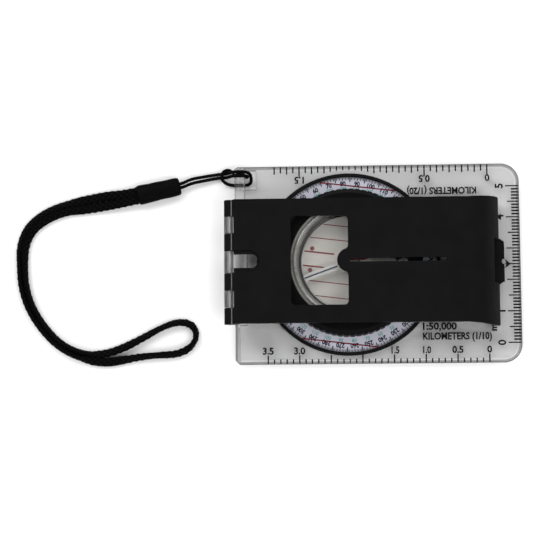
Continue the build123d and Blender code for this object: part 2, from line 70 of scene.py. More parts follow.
class Nodes:
    """A material's node tree, with short calls for the nodes used here."""

    def __init__(self, name):
        self.material = bpy.data.materials.new(name)
        self.material.use_nodes = True
        self.tree = self.material.node_tree
        self.tree.nodes.clear()
        self.output = self.add("ShaderNodeOutputMaterial")
        self.coordinates = self.add("ShaderNodeTexCoord").outputs["Object"]

    def add(self, kind):
        return self.tree.nodes.new(kind)

    def link(self, a, b):
        self.tree.links.new(a, b)

    def noise(self, scale, detail=3.0, stretch=(1, 1, 1), roughness=0.5):
        """Noise in object space; scale is in cells per metre."""
        mapping = self.add("ShaderNodeMapping")
        mapping.inputs["Scale"].default_value = stretch
        self.link(self.coordinates, mapping.inputs["Vector"])
        node = self.add("ShaderNodeTexNoise")
        node.inputs["Scale"].default_value = scale
        node.inputs["Detail"].default_value = detail
        node.inputs["Roughness"].default_value = roughness
        self.link(mapping.outputs["Vector"], node.inputs["Vector"])
        return node.outputs["Fac"]

    def spread(self, value, low, high, start=0.3, end=0.7):
        """Maps a noise value onto low..high."""
        node = self.add("ShaderNodeMapRange")
        node.inputs["From Min"].default_value = start
        node.inputs["From Max"].default_value = end
        node.inputs["To Min"].default_value = low
        node.inputs["To Max"].default_value = high
        self.link(value, node.inputs["Value"])
        return node.outputs["Result"]

    def ramp(self, value, *stops):
        """A colour ramp; each stop is (position, (r, g, b))."""
        node = self.add("ShaderNodeValToRGB")
        elements = node.color_ramp.elements
        while len(elements) < len(stops):
            elements.new(0.5)
        for element, (position, colour) in zip(elements, stops):
            element.position = position
            element.color = (*colour, 1.0)
        self.link(value, node.inputs["Fac"])
        return node.outputs["Color"]

    def mix(self, factor, a, b):
        """Mixes two colour sockets by a factor socket."""
        node = self.add("ShaderNodeMix")
        node.data_type = "RGBA"
        self.link(factor, node.inputs[0])
        for source, target in ((a, node.inputs[6]), (b, node.inputs[7])):
            if isinstance(source, tuple):
                target.default_value = (*source, 1.0)
            else:
                self.link(source, target)
        return node.outputs[2]

    def tint(self, colour, by):
        """One colour multiplied by another."""
        node = self.add("ShaderNodeMix")
        node.data_type = "RGBA"
        node.blend_type = "MULTIPLY"
        node.inputs[0].default_value = 1.0
        self.link(colour, node.inputs[6])
        self.link(by, node.inputs[7])
        return node.outputs[2]

    def bump(self, height, depth, strength=1.0, under=None):
        """A bump of the given depth in metres, on top of another bump."""
        node = self.add("ShaderNodeBump")
        node.inputs["Strength"].default_value = strength
        node.inputs["Distance"].default_value = depth
        self.link(height, node.inputs["Height"])
        if under is not None:
            self.link(under, node.inputs["Normal"])
        return node.outputs["Normal"]

    def principled(self, **settings):
        node = self.add("ShaderNodeBsdfPrincipled")
        for name, value in settings.items():
            socket = node.inputs[name.replace("_", " ")]
            if isinstance(value, bpy.types.NodeSocket):
                self.link(value, socket)
            elif isinstance(value, tuple) and len(value) == 3 and socket.type == "RGBA":
                socket.default_value = (*value, 1.0)
            else:
                socket.default_value = value
        return node.outputs["BSDF"]

    def maths(self, operation, a, b=None):
        """A Math node; a and b are sockets or numbers."""
        node = self.add("ShaderNodeMath")
        node.operation = operation
        for value, socket in zip((a, b), node.inputs):
            if isinstance(value, bpy.types.NodeSocket):
                self.link(value, socket)
            elif value is not None:
                socket.default_value = value
        return node.outputs[0]

    def place(self):
        """The x, y and z of the point in object space."""
        node = self.add("ShaderNodeSeparateXYZ")
        self.link(self.coordinates, node.inputs[0])
        return node.outputs

    def zone(self, left_of, above, amount):
        """amount where x < left_of and z > above, else 0."""
        x, _, z = self.place()
        left = self.maths("LESS_THAN", x, left_of)
        high = self.maths("GREATER_THAN", z, above)
        return self.maths("MULTIPLY", self.maths("MULTIPLY", left, high), amount)

    def radius(self):
        """How far the point is from the dial's axis."""
        x, y, _ = self.place()
        squares = [self.maths("MULTIPLY", value, value) for value in (x, y)]
        return self.maths("SQRT", self.maths("ADD", *squares))

    def rim_depth(self, middle, half_sizes, corner, left_edge):
        """How far the point is inside a round-cornered rectangle cut off square at left_edge."""
        x, y, _ = self.place()
        past = []
        for value, centre, half in zip((x, y), middle, half_sizes):
            off = self.maths("ABSOLUTE", self.maths("SUBTRACT", value, centre))
            past.append(self.maths("SUBTRACT", off, half - corner))
        beyond = [self.maths("MAXIMUM", value, 0.0) for value in past]
        squares = [self.maths("MULTIPLY", value, value) for value in beyond]
        outside = self.maths("SQRT", self.maths("ADD", *squares))
        inside = self.maths("MINIMUM", self.maths("MAXIMUM", *past), 0.0)
        depth = self.maths("SUBTRACT", corner, self.maths("ADD", outside, inside))
        return self.maths("MINIMUM", depth, self.maths("SUBTRACT", x, left_edge))

    def facing_up(self):
        """1 where the surface is level, 0 where it is upright."""
        geometry = self.add("ShaderNodeNewGeometry")
        parts = self.add("ShaderNodeSeparateXYZ")
        self.link(geometry.outputs["Normal"], parts.inputs[0])
        return self.maths("ABSOLUTE", parts.outputs[2])

    def strip(self, low, high, above):
        """1 where low < x < high and z > above, in metres; else 0."""
        x, _, z = self.place()
        inside = self.maths(
            "MULTIPLY",
            self.maths("GREATER_THAN", x, low),
            self.maths("LESS_THAN", x, high),
        )
        return self.maths("MULTIPLY", inside, self.maths("GREATER_THAN", z, above))

    def finish(self, shader):
        """Puts the shader on the material's output and returns the material."""
        self.link(shader, self.output.inputs["Surface"])
        return self.material


def around(colour, amount):
    """Two colours a little darker and a little lighter than the given one."""
    dark = tuple(c * (1 - amount) for c in colour)
    light = tuple(min(1.0, c * (1 + amount)) for c in colour)
    return dark, light


def plastic(name, colour, roughness, grain=2500.0, depth=0.00002, variation=0.25, **more):
    """Moulded plastic: slight mottling, fine grain, and smears that change the gloss."""
    n = Nodes(name)
    dark, light = around(colour, variation)
    tone = n.ramp(n.noise(160.0, 4.0), (0.3, dark), (0.7, light))
    smear = n.noise(420.0, 5.0, (1, 0.25, 1), 0.65)
    gloss = n.spread(smear, roughness * 0.8, min(1.0, roughness * 1.25))
    normal = n.bump(n.noise(grain, 2.0), depth)
    return n.finish(n.principled(Base_Color=tone, Roughness=gloss, Normal=normal, **more))


def lid_plastic(name, colour, roughness):
    """The lid's satin black, with a painted highlight line where its webs meet the hinge barrel."""
    line_start, line_end, line_low = -36.95 * MM, -36.6 * MM, 12.0 * MM
    n = Nodes(name)
    dark, light = around(colour, 0.15)
    tone = n.ramp(n.noise(160.0, 4.0), (0.3, dark), (0.7, light))
    # painted highlight: a light grey line along the webs by the hinge barrel, broken up by noise
    glint_breakup = n.spread(n.noise(900.0, 3.0), 0.55, 1.0)
    painted_glint = n.maths("MULTIPLY", n.strip(line_start, line_end, line_low), glint_breakup)
    tone = n.mix(painted_glint, tone, (0.19, 0.19, 0.20))
    gloss = n.spread(n.noise(420.0, 5.0, (1, 0.25, 1), 0.65), roughness * 0.8, roughness * 1.25)
    normal = n.bump(n.noise(2200.0, 2.0), 0.000025)
    return n.finish(
        n.principled(Base_Color=tone, Roughness=gloss, Normal=normal, Specular_IOR_Level=0.04)
    )


def dial_ring(name, colour, painted_rim_shade):
    """The graduated ring: pale, with painted shade darkening the tick zone by the rim."""
    shade_starts, shade_full = 26.6 * MM, 28.0 * MM
    n = Nodes(name)
    dark, light = around(colour, 0.05)
    tone = n.ramp(n.noise(160.0, 4.0), (0.3, dark), (0.7, light))
    # painted shade: the tick zone darkens towards the rim
    rim = n.spread(n.radius(), 0.0, 1.0, shade_starts, shade_full)
    tone = n.mix(rim, tone, painted_rim_shade)
    gloss = n.spread(n.noise(420.0, 5.0), 0.32, 0.5)
    normal = n.bump(n.noise(2500.0), 0.00001)
    return n.finish(n.principled(Base_Color=tone, Roughness=gloss, Normal=normal))


def metal(name, colour, roughness, stretch=(1, 12, 12), depth=0.000008, variation=0.18):
    """Metal with drawn or turned marks along one axis."""
    n = Nodes(name)
    dark, light = around(colour, variation)
    marks = n.noise(1800.0, 4.0, stretch, 0.6)
    tone = n.ramp(marks, (0.3, dark), (0.7, light))
    gloss = n.spread(marks, roughness * 0.7, roughness * 1.4)
    normal = n.bump(marks, depth)
    return n.finish(n.principled(Base_Color=tone, Metallic=1.0, Roughness=gloss, Normal=normal))


# The base plate's outline in metres: a rectangle with rounded corners at its right end, carried
# on past the left end, where the outline is cut off square.
PLATE_MIDDLE = (-0.0009, 0.0)
PLATE_HALF_SIZES = (0.0554, 0.0318)
PLATE_CORNER = 0.0058
PLATE_LEFT = -0.0363
# How far in the painted shade and highlight band along the outline reaches,
# and the height above which the hinge end is matt.
PLATE_BAND = 2.0 * MM
PLATE_MATT_ABOVE = 4.8 * MM


def clear_plastic(name, tint, shadow, edge=None):
    """Clear acrylic, slightly tinted, that lets the lamps' light through to what lies under it.

    edge is for the base plate, (z, x, painted edge shade, raised colour): below z, faces that are
    not level take the painted edge shade, a dark colour in place of shade, and let less through;
    what stands above z takes the raised colour, darkened on its flanks by painted shade, and has
    a matt moulded finish to the left of x. Along its outline the plate also gets a painted grey
    band of shade and a painted bright line of highlight.
    """
    n = Nodes(name)
    waves = n.bump(n.noise(70.0, 2.0), 0.00002, 0.6)
    normal = n.bump(n.noise(900.0, 3.0, (1, 0.2, 1)), 0.000002, 0.5, waves)
    gloss = n.spread(n.noise(500.0, 4.0, (0.3, 1, 1), 0.6), 0.012, 0.036)
    tone = n.ramp(n.noise(60.0, 2.0), (0.3, around(tint, 0.03)[0]), (0.7, tint))
    clearness = 1.0
    if edge is not None:
        height, matt_left_of, painted_edge_shade, raised_colour = edge
        raised = n.maths("GREATER_THAN", n.place()[2], height)
        upright = n.spread(n.facing_up(), 1.0, 0.0, 0.80, 0.97)
        # painted shade: faces that are not level, below the raised parts, take a dark colour
        cut = n.maths("MULTIPLY", upright, n.maths("SUBTRACT", 1.0, raised))
        # painted shade: raised parts get a darker colour on their flanks
        painted_flank_shade = n.spread(n.facing_up(), 1.0, 0.0, 0.3, 0.8)
        rim = n.mix(painted_flank_shade, raised_colour, around(raised_colour, 0.85)[0])
        depth = n.rim_depth(PLATE_MIDDLE, PLATE_HALF_SIZES, PLATE_CORNER, PLATE_LEFT)
        # painted shade and highlight: a grey band, then a bright line, along the plate's outline
        painted_outline_band = n.ramp(
            n.spread(depth, 0.0, 1.0, 0.0, PLATE_BAND),
            (0.0, (0.56, 0.56, 0.56)),
            (0.28, (0.68, 0.68, 0.68)),
            (0.42, (0.66, 0.66, 0.66)),
            (0.52, (1.22, 1.22, 1.22)),
            (0.62, (1.18, 1.18, 1.18)),
            (0.74, (1.0, 1.0, 1.0)),
        )
        tone = n.tint(tone, painted_outline_band)
        tone = n.mix(raised, n.mix(cut, tone, painted_edge_shade), rim)
        clearness = n.spread(cut, 1.0, 0.45, 0.0, 1.0)
        gloss = n.maths("MAXIMUM", gloss, n.zone(matt_left_of, PLATE_MATT_ABOVE, 0.38))
    glass = n.principled(
        Base_Color=tone, Roughness=gloss, IOR=1.49, Transmission_Weight=clearness, Normal=normal
    )
    see_through = n.add("ShaderNodeBsdfTransparent")
    see_through.inputs["Color"].default_value = (*shadow, 1.0)
    path = n.add("ShaderNodeLightPath")
    both = n.add("ShaderNodeMixShader")
    n.link(path.outputs["Is Shadow Ray"], both.inputs["Fac"])
    n.link(glass, both.inputs[1])
    n.link(see_through.outputs["BSDF"], both.inputs[2])
    return n.finish(both.outputs["Shader"])


def cord_fibre(name, colour):
    """Braided or twisted nylon: painted shade in the rougher creases, painted highlight on the
    crowns.
    """
    n = Nodes(name)
    crown = n.add("ShaderNodeAttribute")
    crown.attribute_name = "crown"
    dark = tuple(c * 0.35 for c in colour)
    light = tuple(c * 2.6 for c in colour)
    fluff = n.noise(5200.0, 4.0, (1, 1, 1), 0.7)
    # painted shade in the creases and painted highlight on the crowns of the strands
    base = n.ramp(crown.outputs["Fac"], (0.1, dark), (0.55, colour), (1.0, light))
    tone = n.mix(n.spread(fluff, 0.0, 0.55), base, dark)
    gloss = n.spread(crown.outputs["Fac"], 0.85, 0.48, 0.0, 1.0)
    normal = n.bump(fluff, 0.00008, 0.8)
    return n.finish(
        n.principled(Base_Color=tone, Roughness=gloss, Normal=normal, Specular_IOR_Level=0.03)
    )


def ink(name, colour):
    """Screen-printed ink, slightly uneven in density."""
    n = Nodes(name)
    dark, light = around(colour, 0.3)
    tone = n.ramp(n.noise(3000.0, 3.0), (0.3, dark), (0.7, light))
    return n.finish(
        n.principled(
            Base_Color=tone,
            Roughness=0.45,
            Specular_IOR_Level=0.1,
            Normal=n.bump(n.noise(6000.0, 2.0), 0.000004),
        )
    )


def two_tone(name, heading, ahead, behind):
    """Enamel in one colour on the side the heading points to, and another behind the axis."""
    n = Nodes(name)
    x, y, _ = n.place()
    along = n.maths(
        "ADD", n.maths("MULTIPLY", x, math.cos(heading)), n.maths("MULTIPLY", y, math.sin(heading))
    )
    grain = n.noise(2500.0, 2.0)
    front = n.ramp(grain, (0.3, around(ahead, 0.12)[0]), (0.7, ahead))
    back = n.ramp(grain, (0.3, around(behind, 0.05)[0]), (0.7, behind))
    tone = n.mix(n.maths("GREATER_THAN", along, 0.0), back, front)
    gloss = n.spread(n.noise(500.0, 4.0), 0.24, 0.39)
    return n.finish(n.principled(Base_Color=tone, Roughness=gloss, Normal=n.bump(grain, 0.00001)))


def moulded_wall(name):
    """The capsule's thick clear wall, drawn with painted rings of light and shade across it."""
    inner_radius, outer_radius = 15.4 * MM, 18.75 * MM
    n = Nodes(name)
    streaks = n.maths("MULTIPLY", n.maths("SUBTRACT", n.noise(140.0, 3.0), 0.5), 0.0006)
    across = n.spread(n.maths("ADD", n.radius(), streaks), 0.0, 1.0, inner_radius, outer_radius)
    # painted light and shade: a dark inner ring, then painted highlight rings and darker rings
    tone = n.ramp(
        across,
        (0.00, (0.004, 0.004, 0.004)),
        (0.18, (0.003, 0.003, 0.003)),
        (0.22, (0.10, 0.10, 0.09)),
        (0.28, (0.135, 0.135, 0.12)),
        (0.42, (0.155, 0.155, 0.14)),
        (0.55, (0.11, 0.11, 0.10)),
        (0.63, (0.05, 0.05, 0.047)),
        (0.72, (0.04, 0.04, 0.037)),
        (0.84, (0.13, 0.13, 0.118)),
        (0.90, (0.06, 0.06, 0.055)),
        (0.95, (0.11, 0.11, 0.10)),
        (1.00, (0.01, 0.01, 0.01)),
    )
    gloss = n.spread(n.noise(700.0, 3.0), 0.3, 0.5)
    normal = n.bump(n.noise(900.0), 0.00001)
    return n.finish(
        n.principled(Base_Color=tone, Roughness=gloss, Coat_Weight=0.12, Normal=normal)
    )


# ---------------------------------------------------------------- materials

finishes = {
    "baseplate": clear_plastic(
        "plate_acrylic",
        (0.62, 0.62, 0.622),
        (0.84, 0.84, 0.84),
        edge=(2.6 * MM, -31.5 * MM, (0.10, 0.10, 0.10), (0.88, 0.88, 0.87)),
    ),
    "capsule": clear_plastic("capsule_acrylic", (0.93, 0.93, 0.92), (0.97, 0.97, 0.965)),
    "capsule_wall": moulded_wall("capsule_wall_painted_rings"),
    "steel": metal("polished_steel", (0.62, 0.62, 0.63), 0.22),
    "trim": plastic("black_trim_plastic", (0.0028, 0.0028, 0.003), 0.35, Specular_IOR_Level=0.1),
    "bezel": plastic(
        "bezel_rubberised_plastic",
        (0.0016, 0.0016, 0.0018),
        0.45,
        1800.0,
        0.00003,
        Specular_IOR_Level=0.05,
    ),
    "lid": lid_plastic("lid_satin_plastic", (0.0042, 0.0042, 0.0046), 0.5),
    "dial": dial_ring("dial_plastic", (0.50, 0.50, 0.58), (0.20, 0.20, 0.23)),
    "dial_floor": plastic("dial_floor_plastic", (0.37, 0.355, 0.335), 0.45, 2500.0, 0.00001, 0.05),
    "red": plastic("red_enamel", (0.13, 0.007, 0.007), 0.3, 2500.0, 0.00001, 0.12),
    "white": plastic("white_enamel", (0.29, 0.29, 0.285), 0.32, 2500.0, 0.00001, 0.05),
    "hub": two_tone("hub_enamel", NEEDLE_HEADING, (0.05, 0.008, 0.008), (0.29, 0.29, 0.285)),
    "brass": metal("turned_brass", (0.72, 0.50, 0.20), 0.28, (12, 12, 1)),
    "jewel": plastic("jewel_plastic", (0.10, 0.085, 0.07), 0.15, 2500.0, 0.000005, 0.08),
    "mirror": metal(
        "silvered_mirror", (0.80, 0.82, 0.84), 0.02, (1, 1, 1), depth=0.00000001, variation=0.02
    ),
    "foam": plastic("foam_tape", (0.55, 0.55, 0.52), 0.9, 1400.0, 0.0001, 0.1),
    "crimp": metal("crimp_aluminium", (0.55, 0.55, 0.56), 0.35),
    "sleeve": plastic(
        "shrink_sleeve", (0.0014, 0.0014, 0.0015), 0.5, 1500.0, 0.00004, Specular_IOR_Level=0.03
    ),
    "braid": cord_fibre("black_braid_nylon", (0.0016, 0.0016, 0.0017)),
    "twist": cord_fibre("black_loop_nylon", (0.0016, 0.0016, 0.0017)),
    "ink_black": ink("ink_black", (0.003, 0.003, 0.004)),
    "ink_dial": ink("ink_dial_black", (0.010, 0.009, 0.018)),
    "ink_green": ink("ink_green", (0.10, 0.30, 0.26)),
    "ink_red": ink("ink_red", (0.13, 0.004, 0.012)),
    "ink_violet": ink("ink_violet", (0.006, 0.005, 0.034)),
}

node_finish = {
    "baseplate": "baseplate",
    "capsule_cover": "capsule",
    "hinge_pin": "steel",
    "pivot_pin": "steel",
    "needle_magnet": "steel",
    "dial_retaining_ring": "trim",
    "capsule_seal_ring": "trim",
    "bezel_ring": "bezel",
    "graduated_ring": "dial",
    "dial_floor": "dial_floor",
    "lid_cover": "lid",
    "north_dots": "red",
    "needle_north_blade": "red",
    "needle_south_blade": "white",
    "needle_hub": "hub",
    "pivot_boss": "brass",
    "jewel_bearing": "jewel",
    "mirror": "mirror",
    "mirror_tape": "foam",
    "sleeve_ferrule": "crimp",
}
for node_name, finish in node_finish.items():
    for material_slot in nodes[node_name].material_slots:
        material_slot.material = finishes[finish]


# ---------------------------------------------------------------- piece helpers


def piece(name, mesh, finish, body):
    """Puts a mesh in the scene as a named piece that rides on a body."""
    mesh.materials.clear()
    mesh.materials.append(finishes[finish])
    made = bpy.data.objects.new(name, mesh)
    scene.collection.objects.link(made)
    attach(made, body)
    return made


def smooth(mesh):
    """Smooth shading on every face."""
    mesh.polygons.foreach_set("use_smooth", [True] * len(mesh.polygons))
    mesh.update()


def mesh_from(name, points, faces):
    mesh = bpy.data.meshes.new(name)
    mesh.from_pydata([tuple(p) for p in points], [], faces)
    mesh.update()
    return mesh


def tube(name, rings):
    """A skin with closed ends over rings that all have the same number of points."""
    around_count = len(rings[0])
    points = [p for ring in rings for p in ring]
    faces = []
    for i in range(len(rings) - 1):
        for j in range(around_count):
            k = (j + 1) % around_count
            a, b = i * around_count, (i + 1) * around_count
            faces.append((a + j, a + k, b + k, b + j))
    faces.append(tuple(range(around_count - 1, -1, -1)))
    last = (len(rings) - 1) * around_count
    faces.append(tuple(range(last, last + around_count)))
    return mesh_from(name, points, faces)


# ---------------------------------------------------------------- cords

LOOP_DIAMETER = 1.1 * MM
LOOP_ROUTE = [
    (-56.43, 25.99, 2.3), (-53.2, 26.68, 2.3), (-50.6, 28.1, 2.1), (-46.3, 28.9, 1.7),
    (-42.2, 29.6, 1.15), (-40.1, 29.85, 0.95), (-38.6, 29.9, 1.5), (-37.4, 29.9, 3.9),
    (-35.9, 29.85, 5.35), (-33.2, 29.85, 5.35), (-31.3, 29.4, 4.7), (-30.9, 28.0, 3.0),
    (-31.1, 26.7, 1.4), (-32.2, 26.1, 0.75), (-34.6, 26.0, 0.7), (-37.2, 26.1, 0.75),
    (-39.1, 26.6, 1.3), (-40.3, 27.6, 2.3), (-40.5, 29.2, 2.75), (-39.7, 30.6, 2.5),
    (-38.1, 31.1, 1.4), (-37.0, 30.1, 0.75), (-34.6, 29.4, 0.7), (-32.9, 28.8, 0.7),
    (-32.1, 28.5, 1.95), (-32.15, 28.55, 4.2), (-33.2, 28.55, 5.35), (-35.9, 28.55, 5.35),
    (-37.4, 28.6, 3.8), (-38.6, 28.6, 1.5), (-40.1, 28.55, 0.95), (-42.2, 28.4, 1.15),
    (-46.8, 27.5, 1.7), (-50.4, 26.75, 2.1), (-52.95, 25.5, 2.3), (-56.18, 24.81, 2.3),
]

STRAP_WIDTH = 3.3 * MM
STRAP_THICKNESS = 2.0 * MM
STRAP_ROUTE = [
    (-66.04, 24.54, 2.3), (-71.42, 23.39, 2.2), (-77.5, 23.1, 1.46), (-84.6, 21.8, 1.07),
    (-91.8, 20.4, 1.46), (-98.3, 17.7, 1.46), (-103.6, 13.4, 1.56), (-106.1, 7.2, 1.6),
    (-105.85, 0.5, 1.7), (-105.4, -6.1, 1.72), (-103.1, -13.2, 1.72), (-98.9, -19.85, 1.72),
    (-93.3, -25.65, 1.72), (-86.4, -29.25, 1.7), (-78.8, -30.8, 1.36), (-72.4, -29.9, 1.17),
    (-66.3, -28.85, 1.56), (-60.3, -28.4, 1.65), (-54.9, -28.2, 1.61), (-51.0, -26.4, 1.58),
    (-48.8, -23.4, 1.72), (-49.1, -20.1, 1.66), (-51.6, -18.1, 1.49), (-55.6, -18.0, 1.58),
    (-60.3, -19.8, 1.6), (-66.2, -23.05, 1.49), (-72.3, -26.1, 1.31), (-78.8, -28.2, 1.36),
    (-85.8, -27.65, 1.72), (-92.3, -24.5, 1.72), (-97.6, -18.85, 1.72), (-101.6, -12.5, 1.72),
    (-103.7, -5.75, 1.72), (-104.15, 0.5, 1.7), (-104.2, 6.7, 1.6), (-102.0, 12.1, 1.56),
    (-97.1, 15.9, 1.46), (-91.0, 18.2, 1.46), (-84.0, 19.0, 1.07), (-77.1, 20.0, 1.46),
    (-70.92, 21.05, 2.3), (-65.54, 22.2, 2.3),
]


def route_line(name, route, fineness):
    """The points along the smooth NURBS line that has the route's points as control points."""
    curve = bpy.data.curves.new(name, "CURVE")
    curve.dimensions = "3D"
    spline = curve.splines.new("NURBS")
    spline.points.add(len(route) - 1)
    for point, place in zip(spline.points, route):
        point.co = (place[0] * MM, place[1] * MM, place[2] * MM, 1.0)
    spline.order_u = 3
    spline.use_endpoint_u = True
    spline.resolution_u = fineness
    holder = bpy.data.objects.new(name, curve)
    line = bpy.data.meshes.new_from_object(holder)
    points = [v.co.copy() for v in line.vertices]
    bpy.data.objects.remove(holder)
    bpy.data.curves.remove(curve)
    bpy.data.meshes.remove(line)
    kept = [points[0]]
    for point in points[1:]:
        if (point - kept[-1]).length > 0.02 * MM:
            kept.append(point)
    return kept


def distances(line):
    """How far along the line each of its points is."""
    along = [0.0]
    for a, b in zip(line, line[1:]):
        along.append(along[-1] + (b - a).length)
    return along


def tangents(line):
    """The line's direction at each of its points."""
    last = len(line) - 1
    return [(line[min(i + 1, last)] - line[max(i - 1, 0)]).normalized() for i in range(last + 1)]


def between(value, stops):
    """Eases through (position, amount) stops."""
    if value <= stops[0][0]:
        return stops[0][1]
    for (a, low), (b, high) in zip(stops, stops[1:]):
        if value <= b:
            t = (value - a) / (b - a)
            t = t * t * (3 - 2 * t)
            return low + (high - low) * t
    return stops[-1][1]


def braided_cord(name, line, count, section, relief):
    """A tube along the line, with count points round it.

    section gives (wide half, thin half, turn) at a fraction of the length, and relief gives
    (height, crown) at an angle round the cord and a distance along it.
    """
    along = distances(line)
    whole = along[-1]
    rings = []
    crowns = []
    side = None
    for point, tangent, s in zip(line, tangents(line), along):
        flat = Vector((0, 0, 1)).cross(tangent)
        if flat.length < 0.35 and side is not None:
            flat = side - tangent * side.dot(tangent)
        elif side is not None and flat.dot(side) < 0:
            flat = -flat
        side = flat.normalized() if side is None else (side * 2 + flat.normalized()).normalized()
        side = (side - tangent * side.dot(tangent)).normalized()
        up = tangent.cross(side)
        wide, thin, turn = section(s / whole)
        axis_a = side * math.cos(turn) + up * math.sin(turn)
        axis_b = tangent.cross(axis_a)
        ring = []
        for j in range(count):
            angle = 2 * math.pi * j / count
            height, crown = relief(angle, s)
            crowns.append(crown)
            ring.append(
                point
                + axis_a * ((wide + height) * math.cos(angle))
                + axis_b * ((thin + height) * math.sin(angle))
            )
        rings.append(ring)
    mesh = tube(name, rings)
    smooth(mesh)
    attribute = mesh.attributes.new("crown", "FLOAT", "POINT")
    attribute.data.foreach_set("value", crowns)
    return mesh


def plait(strands, pitch, depth):
    """The relief of a braid: strands round the cord cross in diamonds one pitch long."""

    def relief(angle, s):
        a = strands * angle / (2 * math.pi) + s / pitch
        b = strands * angle / (2 * math.pi) - s / pitch
        crown = abs(math.sin(math.pi * a) * math.sin(math.pi * b)) ** 0.55
        return depth * (crown - 1.0), crown

    return relief


def lay_of_strands(strands, pitch, depth):
    """The relief of a twisted cord."""

    def relief(angle, s):
        crown = abs(math.cos(strands * angle / 2 + math.pi * s / pitch)) ** 0.7
        return depth * (crown - 1.0), crown

    return relief


def strap_section(t):
    """The strap's half widths, and how far it is turned on edge, a fraction t along it."""
    turn = between(
        t,
        [
            (0.07, 0.0), (0.10, 0.84), (0.127, 0.84), (0.15, 0.95), (0.175, 1.1), (0.20, 1.45),
            (0.225, 1.57), (0.345, 1.57), (0.37, 0.7), (0.395, 0.5), (0.42, 0.95), (0.445, 1.25),
            (0.465, 1.05), (0.485, 1.0), (0.50, 1.57), (0.512, 1.3), (0.525, 0.87), (0.54, 1.0),
            (0.56, 1.15), (0.585, 0.87), (0.61, 0.65), (0.64, 0.7), (0.665, 1.57), (0.775, 1.57),
            (0.80, 1.45), (0.825, 1.1), (0.85, 0.95), (0.872, 0.84), (0.90, 0.84), (0.93, 0.2),
            (0.955, 0.0),
        ],
    )
    return STRAP_WIDTH / 2, STRAP_THICKNESS / 2, turn


def loop_section(t):
    """The thin cord is round, and the same all along."""
    return LOOP_DIAMETER / 2, LOOP_DIAMETER / 2, 0.0


strap_line = route_line("strap_route", STRAP_ROUTE, 36)
strap_relief = plait(strands=5, pitch=2.0 * MM, depth=0.42 * MM)
strap_mesh = braided_cord("strap", strap_line, 28, strap_section, strap_relief)
strap = piece("wrist_strap_braid", strap_mesh, "braid", "base")
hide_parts("wrist_cord")

loop_line = route_line("loop_route", LOOP_ROUTE, 20)
loop_relief = lay_of_strands(strands=3, pitch=1.1 * MM, depth=0.12 * MM)
loop_mesh = braided_cord("loop", loop_line, 14, loop_section, loop_relief)
loop = piece("thin_loop_cord", loop_mesh, "twist", "base")
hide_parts("lanyard_loop")


# ---------------------------------------------------------------- shrink sleeve

SLEEVE_START = Vector((-67.65, 22.97, 2.3)) * MM
SLEEVE_HEADING = math.radians(12.1)
SLEEVE_LENGTH = 14.0 * MM
SLEEVE_WIDE_HALF = 3.2
SLEEVE_NARROW_HALF = 2.87
SLEEVE_HALF_HEIGHT = 2.1
SLEEVE_SQUARENESS = 2.6


def shrink_sleeve():
    """A shrunk tube over the joint, with rounded mouths, wrinkles, and hollow ends."""
    axis = Vector((math.cos(SLEEVE_HEADING), math.sin(SLEEVE_HEADING), 0))
    side = Vector((-axis.y, axis.x, 0))
    up = Vector((0, 0, 1))
    count = 48
    # how far along each ring is, and its size; the first and last lie inside the mouths
    stops = [
        (0.16, 0.60), (0.02, 0.64), (0.0, 0.80), (0.015, 0.92), (0.05, 0.985), (0.12, 1.0),
        (0.2, 0.99), (0.3, 0.975), (0.4, 0.985), (0.5, 0.98), (0.6, 0.97), (0.7, 0.985),
        (0.8, 1.0), (0.88, 1.0), (0.95, 0.985), (0.985, 0.92), (1.0, 0.80), (0.98, 0.64),
        (0.84, 0.60),
    ]
    rings = []
    for t, size in stops:
        wide = (SLEEVE_WIDE_HALF + (SLEEVE_NARROW_HALF - SLEEVE_WIDE_HALF) * t) * MM * size
        tall = SLEEVE_HALF_HEIGHT * MM * size
        ring = []
        for j in range(count):
            angle = 2 * math.pi * j / count
            wrinkle = 0.05 * MM * math.sin(3 * angle + 14 * t) * math.sin(math.pi * t)
            c, s = math.cos(angle), math.sin(angle)
            power = SLEEVE_SQUARENESS
            bulge = 1.0 / (abs(c) ** power + abs(s) ** power) ** (1 / power)
            ring.append(
                SLEEVE_START
                + axis * (t * SLEEVE_LENGTH)
                + side * ((wide + wrinkle) * c * bulge)
                + up * ((tall + wrinkle) * s * bulge)
            )
        rings.append(ring)
    mesh = tube("sleeve", rings)
    smooth(mesh)
    return mesh


sleeve = piece("shrink_sleeve", shrink_sleeve(), "sleeve", "base")
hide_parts("lanyard_sleeve")


# ---------------------------------------------------------------- capsule wall


def turned(name, profile, count=160):
    """A solid of revolution; profile runs from the dial's axis back to it, (radius, z) in mm."""
    points = []
    faces = []
    last = len(profile) - 1
    points.append((0, 0, profile[0][1] * MM))
    for radius, z in profile[1:last]:
        for j in range(count):
            angle = 2 * math.pi * j / count
            points.append((radius * MM * math.cos(angle), radius * MM * math.sin(angle), z * MM))
    points.append((0, 0, profile[last][1] * MM))
    end = len(points) - 1
    for j in range(count):
        k = (j + 1) % count
        faces.append((0, 1 + k, 1 + j))
        for i in range(last - 2):
            a, b = 1 + i * count, 1 + (i + 1) * count
            faces.append((a + j, a + k, b + k, b + j))
        final = 1 + (last - 2) * count
        faces.append((end, final + j, final + k))
    mesh = mesh_from(name, points, faces)
    smooth(mesh)
    return mesh


